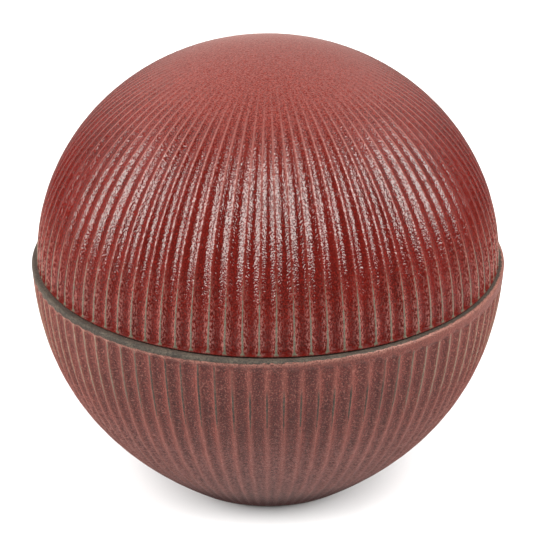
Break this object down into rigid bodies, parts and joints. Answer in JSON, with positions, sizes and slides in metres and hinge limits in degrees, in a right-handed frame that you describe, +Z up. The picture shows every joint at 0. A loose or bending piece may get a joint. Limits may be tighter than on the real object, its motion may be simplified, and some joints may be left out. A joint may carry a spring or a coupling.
{
  "type": "lidded jar",
  "caption": "Ball-shaped stoneware jar with a lift-off domed lid, fluted all round and glazed red, standing on a small flat foot.",
  "frame": {"origin": "middle of the foot, on the surface that the jar stands on", "axes": "+Z up along the jar's axis, from the foot to the lid's crown; the jar is alike all round, so X and Y are any two directions across it"},
  "size_m": [0.13, 0.13, 0.1252],
  "materials": {
    "bowl_glaze": "thin satin red-brown glaze, frosted towards the foot, with bare grey clay on the ledge and along the ridges",
    "lid_glaze": "glossy deep red glaze with an orange-peel grain, broken to grey clay along the sharp ridges"
  },
  "bodies": {
    "bowl": {"bowl": "bowl_glaze"},
    "lid": {"lid": "lid_glaze"}
  },
  "joints": [
    {"name": "lid_lift", "type": "slide", "parent": "bowl", "child": "lid", "axis": [0, 0, 1], "range_m": [0, 0.12]}
  ]
}
